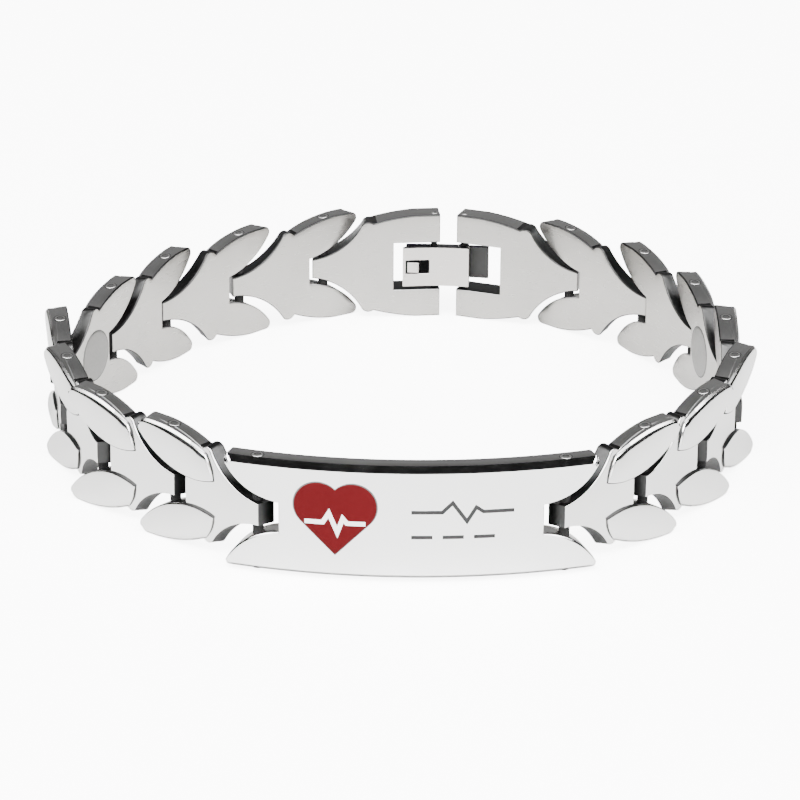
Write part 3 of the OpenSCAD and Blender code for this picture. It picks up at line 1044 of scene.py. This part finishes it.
@dataclass
class Chain:
    """All links between the plate and the clasp, placed between their pins."""

    link: Link = Link()
    end_link: EndLink = EndLink()
    counts: dict[Side, int] = field(default_factory=lambda: {Side.LEFT: 8, Side.RIGHT: 7})

    def pins(self, side: Side) -> list[Array]:
        """Middles of the pins of one run, with the mouth pin last."""
        names = [f"pin_{side.value}_{k}" for k in range(1, self.counts[side] + 2)]
        return [node_middle(name) for name in [*names, f"mouth_pin_{side.value}"]]

    def build(self, finishes: Finishes) -> None:
        """Makes every link and end link.

        Args:
            finishes: All finishes.
        """
        looks = (Look.POLISHED, *BAND_LOOKS)
        link, end = self.link.shell(), self.end_link.shell()
        for side, count in self.counts.items():
            pins = self.pins(side)
            names = [f"link_{side.value}_{k}" for k in range(1, count + 1)] + [f"end_link_{side.value}"]
            for k, name in enumerate(names):
                shell = (link if k < count else end).changed(Place(pins[k], pins[k + 1], side))
                finishes.dress(shell, f"dressed_{name}", looks, "link_steel", name)


# Plate


@dataclass
class Plate:
    """The curved name plate, its emblem and its engraved marks."""

    radius: float = 49.2
    half_height: float = 5.4
    depth: float = 1.2
    rise: float = 1.18
    notch_depth: float = 2.2
    notch_half: float = 1.4
    lobe_radius: float = 6.2
    lobe_back: float = 2.75
    tip: float = 0.3
    rims: tuple[Rim, Rim] = (Rim(0.5, 0.2, 0.65), Rim(0.3, 0.2))
    heart_width: float = 7.6
    heart_place: float = 6.8
    heart_gap: float = 0.1
    heart_foot: float = 0.1
    heart_rings: Pair = (0.5, 1.0)
    groove_proud: float = 0.006
    groove_soft: float = 0.02
    enamel_proud: float = 0.05
    enamel_soft: float = 0.1
    trace_proud: float = 0.075
    pulse_share: float = 0.72
    pulse_rise: float = 0.9
    pulse_line: float = 0.42
    mark_line: float = 0.34
    mark_length: float = 9.2
    mark_rise: float = 1.2
    mark_proud: float = 0.014
    rule_length: float = 1.9
    rule_pitch: float = 2.8
    rule_count: int = 3
    sunk: float = 0.06

    def __post_init__(self) -> None:
        """Finds the middle of the plate's curve from its two pins."""
        left, right = node_middle("pin_left_1"), node_middle("pin_right_1")
        half = np.hypot(*(right - left)[:2]) / 2
        self.pin_length = self.radius * float(np.arcsin(half / self.radius))
        self.centre = (left + right) / 2 + [0, float(np.sqrt(self.radius**2 - half**2)), 0]

    def bend(self, points: Array) -> Array:
        """Bends length, outward and height about the plate's middle, with the length at the pins' radius.

        Args:
            points: Points of the flat plate.

        Returns:
            The points in the table's frame.
        """
        angle = points[:, 0] / self.radius
        reach = self.radius + points[:, 1]
        return self.centre + join(reach * np.sin(angle), -reach * np.cos(angle), points[:, 2])

    def on_face(self, points: Array) -> Array:
        """Bends points whose length was measured along the outer face instead."""
        share = self.radius / (self.radius + self.depth)
        return self.bend(points * [share, 1, 1])

    def outline(self) -> ForkedOutline:
        """A quarter of the plate: straight upper edge, forked end with round tips.

        Returns:
            The upper half of the right end's outline.
        """
        notch = self.pin_length - self.notch_depth
        disc = lobe_disc(self.pin_length - self.lobe_back, self.lobe_radius, notch, self.notch_half)
        high, reach = self.half_height - self.tip, self.lobe_radius - self.tip
        small = Disc(disc.x + float(np.sqrt(reach**2 - (disc.z - high) ** 2)), high, self.tip)

        def upper(x: Array) -> Array:
            """Upper edge: straight, and round at the tip."""
            return np.where(x > small.x, small.over(x), self.half_height)

        lower, end = fork(disc, small), small.x + self.tip
        return ForkedOutline(notch, end, self.notch_half, upper, lower, self.tip, walled=False)

    def body(self, finishes: Finishes) -> None:
        """The plate itself: the quarter mirrored twice and bent.

        Args:
            finishes: All finishes.
        """
        outline = self.outline()
        made = forked_band(outline, outline, level(self.rise), self.depth, self.rims, step=0.4)
        made.mirror(2)
        made.mirror(0)
        looks = (Look.PLATE, *BAND_LOOKS)
        finishes.dress(made.changed(self.bend), "dressed_plate", looks, "plate_steel", "id_plate")

    def heart(self, width: float, top: float, soft: float, look: int) -> Shell:
        """A heart as a thin cushion on the face: rings of its edge, shrunk to the middle.

        The edge is that of a square stood on its corner and two discs on its upper sides.

        Args:
            width: Width over both lobes.
            top: Height above the plate's face.
            soft: Rounding of the edge.
            look: Finish number.

        Returns:
            The open shell of the flat heart, which stands in the face.
        """
        k = width / (0.5 + 1 / np.sqrt(2)) / 2
        angle = np.radians(np.linspace(-90, 270, 181))
        c, s = np.abs(np.cos(angle)), np.sin(angle)
        reach = np.maximum(k / (c + np.abs(s)), k * (c + s))
        inside = np.concatenate([[0, 0.0], soft * EASE, self.heart_rings])[:, None]
        rings = np.clip(1 - inside / reach, 0, 1)
        rings = np.concatenate([rings, rings[-1:] * 0.5, rings[-1:] * 0])
        x, z = rings * reach * np.cos(angle), rings * reach * np.sin(angle)
        y = self.rise + top - rounding((1 - rings) * reach, soft)
        y[0] = self.rise - self.heart_foot
        return Shell().add(look, join(x - self.heart_place, y, z))

    def ribbon(self, points: Array, width: float, top: float) -> Shell:
        """A thin strip along a line, with mitred corners and short walls down into the face.

        Args:
            points: Corners of the line, as length and height.
            width: Width of the strip.
            top: Height above the plate's face.

        Returns:
            The shell of the flat strip.
        """
        way = unit(np.diff(points, axis=0))
        before, after = np.vstack([way[:1], way]), np.vstack([way, way[-1:]])
        mean = unit(before + after)
        off = join(-mean[:, 1], mean[:, 0]) * (width / 2 / (mean * before).sum(1))[:, None]
        corners = np.arange(len(points))
        share = np.linspace(0, corners[-1], 12 * corners[-1] + 1)
        left, right = (
            join(np.interp(share, corners, line[:, 0]), np.interp(share, corners, line[:, 1]))
            for line in (points + off, points - off)
        )
        low, high = self.rise - self.sunk, self.rise + top
        rows = [(left, low), (left, high), (right, high), (right, low)]
        grid = np.stack([join(side[:, 0], y, side[:, 1]) for side, y in rows])
        return Shell().add(0, grid, grid[:, 0].reshape(2, 2, 3), grid[:, -1].reshape(2, 2, 3))

    def pulse(self, length: float) -> Array:
        """Corners of a heartbeat line about its middle."""
        shares = [(-0.5, 0), (-0.2, 0), (-0.1, 1), (0.04, -1), (0.13, 0.5), (0.2, 0), (0.5, 0)]
        return np.array(shares) * [length, self.pulse_rise]

    def emblem(self, finishes: Finishes) -> None:
        """The red heart in its thin groove, and the white pulse line on it.

        Args:
            finishes: All finishes.
        """
        wide, narrow = self.heart_width + self.heart_gap, self.heart_width - self.heart_gap
        groove = self.heart(wide, self.groove_proud, self.groove_soft, 1)
        enamel = self.heart(narrow, self.enamel_proud, self.enamel_soft, 0)
        heart = (groove + enamel).changed(self.on_face)
        finishes.dress(heart, "dressed_heart", (Look.RED, Look.GROOVE), "red_enamel", "emblem_enamel")
        line = self.pulse(self.heart_width * self.pulse_share) - [self.heart_place, 0]
        trace = self.ribbon(line, self.pulse_line, self.trace_proud).changed(self.on_face)
        finishes.dress(trace, "dressed_trace", (Look.WHITE,), "white_enamel", "emblem_trace")

    def marks(self, finishes: Finishes) -> None:
        """The engraved pulse line and the row of dashes below it, filled dark.

        Args:
            finishes: All finishes.
        """
        line = self.pulse(self.mark_length) + [self.mark_length / 2, self.mark_rise]
        rule = np.array([(0.0, -self.mark_rise), (self.rule_length, -self.mark_rise)])
        rules = [rule + [k * self.rule_pitch, 0] for k in range(self.rule_count)]
        shell = Shell()
        for part in (line, *rules):
            shell += self.ribbon(part, self.mark_line, self.mark_proud)
        finishes.dress(shell.changed(self.on_face), "engraved_marks", (Look.MARK,), "plate_steel")

    def build(self, finishes: Finishes) -> None:
        """Makes the plate with its emblem and marks.

        Args:
            finishes: All finishes.
        """
        self.body(finishes)
        self.emblem(finishes)
        self.marks(finishes)


# Pins and inserts


def lathe(profile: Array, turns: int = 32) -> Array:
    """Carries a profile round the upright axis.

    Args:
        profile: One row for each point, as radius and height.
        turns: Number of steps round.

    Returns:
        The grid: each point turned about the axis, with the seam closed.
    """
    angle = np.linspace(0, 2 * np.pi, turns + 1)
    r, z = profile[:, :1], profile[:, 1:]
    return join(r * np.cos(angle), r * np.sin(angle), z)


def quarter_round(radius: float, top: float, wide: float, high: float) -> Array:
    """A rounded upper corner of a profile, from its side up to its top."""
    turn = ease(5)
    return join(radius - wide * turn, top - high * turn[::-1])


@dataclass
class Pins:
    """The upright pins, with ring-shaped ends that show in the edges.

    Shares are of a pin's radius.
    """

    radius: float = 0.62
    mouth_radius: float = 0.42
    shaft: float = 0.8
    ring: float = 0.88
    soft: float = 0.12
    hollow: float = 0.5
    hollow_floor: float = 0.46
    hollow_depth: float = 0.25
    head: float = 0.3
    lift: float = 0.012
    link_top: float = 5.64
    plate_top: float = 5.45
    proud: float = 0.05
    slope: float = 0.1345
    highest: float = 5.6995
    mouth_top: float = 5.7

    def pin(self, name: str, radius: float, top: float, lean: Array, finishes: Finishes) -> None:
        """One pin: a shaft with a line of painted shade, a rounded ring and a hollow painted black as shade
        at each end.

        Args:
            name: The node it stands for.
            radius: Radius of the pin.
            top: Height of its ends above mid height.
            lean: Rise of its ends over length and width, as the edge around them has.
            finishes: All finishes.
        """
        inside, ring, soft, hollow = radius * np.array([self.shaft, self.ring, self.soft, self.hollow])
        low, floor = top - self.proud, top - self.hollow_depth
        line, neck = low + self.lift, low - self.head
        shaft = [[inside, 0.0], [inside, low / 2], [inside, neck], [radius, neck], [radius, line]]
        round_off = quarter_round(ring, top, soft, soft)
        # Painted shade: the shaft, the line at the ring's foot and the hollow are black
        shell = Shell().add(1, lathe(np.array(shaft)), lathe(np.array([[radius, line], [ring, line]])))
        shell.add(0, lathe(np.concatenate([[[ring, line]], round_off, [[hollow, top]]])))
        shell.add(1, lathe(np.array([[hollow, top], [self.hollow_floor * radius, floor], [0.0, floor]])))
        shell.mirror(2)
        middle = node_middle(name)

        def stand(points: Array) -> Array:
            """Leans both ends, below the links' height, and moves the pin to its place.

            Args:
                points: Points about the pin's middle.

            Returns:
                The points in the table's frame.
            """
            rise = points[:, :2] @ lean * np.sign(points[:, 2])
            height = np.clip(points[:, 2] + rise, -self.highest, self.highest)
            return join(points[:, 0], points[:, 1], height) + middle

        finishes.dress(shell.changed(stand), f"dressed_{name}", (Look.PIN, Look.SPLIT), "pin_steel", name)

    def build(self, chain: Chain, finishes: Finishes) -> None:
        """Makes every pin of the chain and of the clasp's mouths.

        Args:
            chain: The chain, which knows its pins.
            finishes: All finishes.
        """
        flat = np.zeros(2)
        for side, count in chain.counts.items():
            pins = chain.pins(side)
            self.pin(f"pin_{side.value}_1", self.radius, self.plate_top, flat, finishes)
            for k in range(2, count + 2):
                way = (pins[k - 1] - pins[k - 2])[:2]
                lean = self.slope * way / np.hypot(*way)
                self.pin(f"pin_{side.value}_{k}", self.radius, self.link_top, lean, finishes)
            self.pin(f"mouth_pin_{side.value}", self.mouth_radius, self.mouth_top, flat, finishes)


@dataclass
class Inserts:
    """The round discs set in the inner faces of the fifth links."""

    link: int = 5
    place: float = 5.35
    radius: float = 2.5
    face: float = 0.9
    proud: float = 0.05
    foot: float = -0.2
    rim: Pair = (0.16, 0.07)
    flat_share: float = 0.6
    ring: Pair = (0.1, -0.02)
    ring_proud: float = 0.008
    turns: int = 72

    def stand(self, points: Array) -> Array:
        """Turns the disc's axis inwards and moves it to its place on the link."""
        return join(self.place + points[:, 0], -self.face - points[:, 2], points[:, 1])

    def build(self, chain: Chain, finishes: Finishes) -> None:
        """Makes both inserts: a disc with a rounded rim inside a thin dark ring.

        Args:
            chain: The chain, which knows its pins.
            finishes: All finishes.
        """
        rim = quarter_round(self.radius, self.proud, *self.rim)
        inside = [[self.radius * self.flat_share, self.proud], [0, self.proud]]
        disc = np.concatenate([[[self.radius, self.foot]], rim, inside])
        wide, narrow = (self.radius + more for more in self.ring)
        ring = [[wide, self.foot], [wide, self.ring_proud], [narrow, self.ring_proud], [narrow, self.foot]]
        shell = Shell().add(0, lathe(disc, self.turns)).add(1, lathe(np.array(ring), self.turns))
        for side in Side:
            pins = chain.pins(side)
            stood = shell.changed(self.stand).changed(Place(pins[self.link - 1], pins[self.link], side))
            name = f"insert_{side.value}"
            finishes.dress(stood, f"dressed_{name}", (Look.INSERT, Look.GROOVE), "insert_disc", name)


# Clasp


@dataclass
class Clasp:
    """The outer blade with its catch and the inner blade with its slot."""

    bevel: float = 0.09
    segments: int = 3
    crisp: float = 50.0
    merge: float = 1e-6
    flat_angle: float = 1.0
    steep: float = 0.7
    behind: float = 34.3
    hollow_end: float = 7.0

    def painted_shade_finishes(self, mesh: Mesh) -> Array:
        """Finish of each face, with shade painted in: dark on the faces above and below and on the cover's
        inner face, and black as painted shadow behind the slot.

        Args:
            mesh: The blade's mesh.

        Returns:
            One finish number for each face.
        """
        way, place = np.empty(len(mesh.polygons) * 3), np.empty(len(mesh.polygons) * 3)
        mesh.polygons.foreach_get("normal", way)
        mesh.polygons.foreach_get("center", place)
        way, place = way.reshape(-1, 3), place.reshape(-1, 3) / MM
        behind = (way[:, 1] < -self.steep) & (place[:, 1] > self.behind)
        cases = [np.abs(way[:, 2]) > self.steep, behind & (place[:, 0] < self.hollow_end), behind]
        return np.select(cases, [1, 2, 1], 0).astype(np.int32)

    def blade(self, name: str, body: Body, finishes: Finishes) -> None:
        """A merged copy of the blade's solid with softened edges.

        Args:
            name: The node it stands for.
            body: The body it rides on.
            finishes: All finishes.
        """
        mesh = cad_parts[name].data.copy()
        mesh.name = f"dressed_{name}"
        mesh.materials.clear()
        for made in finishes.of(Look.CLASP, Look.GAP_PAINTED_SHADE, Look.SPLIT):
            mesh.materials.append(made)
        work = bmesh.new()
        work.from_mesh(mesh)
        bmesh.ops.remove_doubles(work, verts=work.verts, dist=self.merge)
        limit = np.radians(self.flat_angle)
        bmesh.ops.dissolve_limit(work, angle_limit=limit, verts=work.verts, edges=work.edges)
        work.to_mesh(mesh)
        work.free()
        mesh.polygons.foreach_set("material_index", self.painted_shade_finishes(mesh))
        piece = finished(bpy.data.objects.new(mesh.name, mesh), self.crisp)
        edge = piece.modifiers.new("softened edges", "BEVEL")
        edge.width = self.bevel * MM
        edge.segments = self.segments
        edge.limit_method = "ANGLE"
        edge.angle_limit = np.radians(self.crisp)
        edge.harden_normals = True
        settle(piece, body, "clasp_steel", name)

    def build(self, finishes: Finishes) -> None:
        """Makes both blades."""
        self.blade("clasp_cover", Body.BRACELET, finishes)
        self.blade("clasp_lever", Body.LEVER, finishes)


# Studio


@dataclass(frozen=True)
class Softbox:
    """A rectangle of soft light."""

    name: str
    place: Triple
    size: Pair
    power: float
    aim: Triple = (0.0, 0.0, 0.0)

    def build(self) -> None:
        """Makes the light, turned to what it aims at."""
        light = bpy.data.lights.new(self.name, "AREA")
        light.shape = "RECTANGLE"
        light.size, light.size_y = self.size
        light.energy = self.power
        lamp = bpy.data.objects.new(self.name, light)
        lamp.location = self.place
        lamp.rotation_euler = (Vector(self.aim) - Vector(self.place)).to_track_quat("-Z", "Y").to_euler()
        placed(lamp)


@dataclass
class Studio:
    """Pale floor, soft light and the camera at the photograph's angle."""

    floor_size: float = 6.0
    floor_colour: Triple = (0.95, 0.95, 0.95)
    floor_tone: Triple = (0.74, 0.74, 0.735)
    floor_gloss: Pair = (0.4, 0.3)
    floor_glow: float = 7.0
    surround: float = 0.008
    eye: Triple = (0.84734, -328.55464, 133.51019)
    right: Triple = (0.99997376, 0.00391118, 0.00609759)
    up: Triple = (-0.00710886, 0.36788682, 0.9298434)
    lens: float = 162.0
    sensor: float = 36.0
    clip: Pair = (0.01, 20.0)
    boxes: tuple[Softbox, ...] = (
        Softbox("high_softbox", (0.0, -0.9, 1.3), (1.6, 0.9), 95.0),
        Softbox("front_card", (0.0, -1.5, 0.33), (3.2, 0.55), 36.0, (0.0, 0.0, 0.02)),
        Softbox("left_softbox", (-1.15, -0.35, 1.25), (1.3, 0.9), 42.0),
        Softbox("right_softbox", (1.15, -0.35, 1.25), (1.3, 0.9), 42.0),
        Softbox("back_card", (0.0, 2.2, 1.0), (4.5, 1.4), 7.0, (0.0, 0.0, 0.05)),
    )

    def paint(self) -> Material:
        """The floor's material: it shows paler than the metal mirrors it, as on a light table.

        Returns:
            The material.
        """
        paint = bpy.data.materials.new("pale_floor")
        paint.use_nodes = True
        tree = paint.node_tree
        shader = tree.nodes["Principled BSDF"]
        rough, specular = self.floor_gloss
        preset(shader, {"Roughness": rough, "Specular IOR Level": specular, "Emission Color": (1, 1, 1, 1)})
        seen = node(tree, "LightPath")
        tones = {"A": (*self.floor_tone, 1), "B": (*self.floor_colour, 1)}
        tone = node(tree, "Mix", tones, data_type="RGBA")
        glow = node(tree, "Math", {1: self.floor_glow}, operation="MULTIPLY")
        wire(tree, (seen, "Is Camera Ray", tone, "Factor"), (seen, "Is Camera Ray", glow, 0))
        wire(tree, (tone, "Result", shader, "Base Color"), (glow, 0, shader, "Emission Strength"))
        return paint

    def floor(self) -> None:
        """A large pale plane on which the bracelet stands."""
        half = self.floor_size / 2
        mesh = bpy.data.meshes.new("floor")
        corners = [(-half, -half, 0), (half, -half, 0), (half, half, 0), (-half, half, 0)]
        mesh.from_pydata(corners, [], [(0, 1, 2, 3)])
        mesh.materials.append(self.paint())
        placed(bpy.data.objects.new("floor", mesh))

    def camera(self) -> None:
        """The camera, from its fitted place, right and up directions."""
        right, up = Vector(self.right), Vector(self.up)
        turn = Matrix((right, up, right.cross(up))).transposed().to_4x4()
        data = bpy.data.cameras.new("camera")
        data.lens = self.lens
        data.sensor_width = self.sensor
        data.clip_start, data.clip_end = self.clip
        eye = placed(bpy.data.objects.new("camera", data))
        eye.matrix_world = Matrix.Translation(Vector(self.eye) * MM) @ turn
        bpy.context.scene.camera = eye

    def surroundings(self) -> None:
        """A dim room around the table."""
        world = bpy.data.worlds.new("room")
        world.use_nodes = True
        preset(world.node_tree.nodes["Background"], {"Color": (1, 1, 1, 1), "Strength": self.surround})
        bpy.context.scene.world = world

    def build(self) -> None:
        """Makes the stage."""
        self.camera()
        self.floor()
        self.surroundings()
        for box in self.boxes:
            box.build()


def write_sizes() -> None:
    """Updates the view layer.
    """
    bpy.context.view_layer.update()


def main() -> None:
    """Builds the stage and every sub-assembly in order."""
    logging.basicConfig(level=logging.INFO, format="%(name)s %(message)s")
    Studio().build()
    finishes = Finishes()
    chain = Chain()
    Plate().build(finishes)
    chain.build(finishes)
    Pins().build(chain, finishes)
    Inserts().build(chain, finishes)
    Clasp().build(finishes)
    write_sizes()


if __name__ == "__main__":
    main()
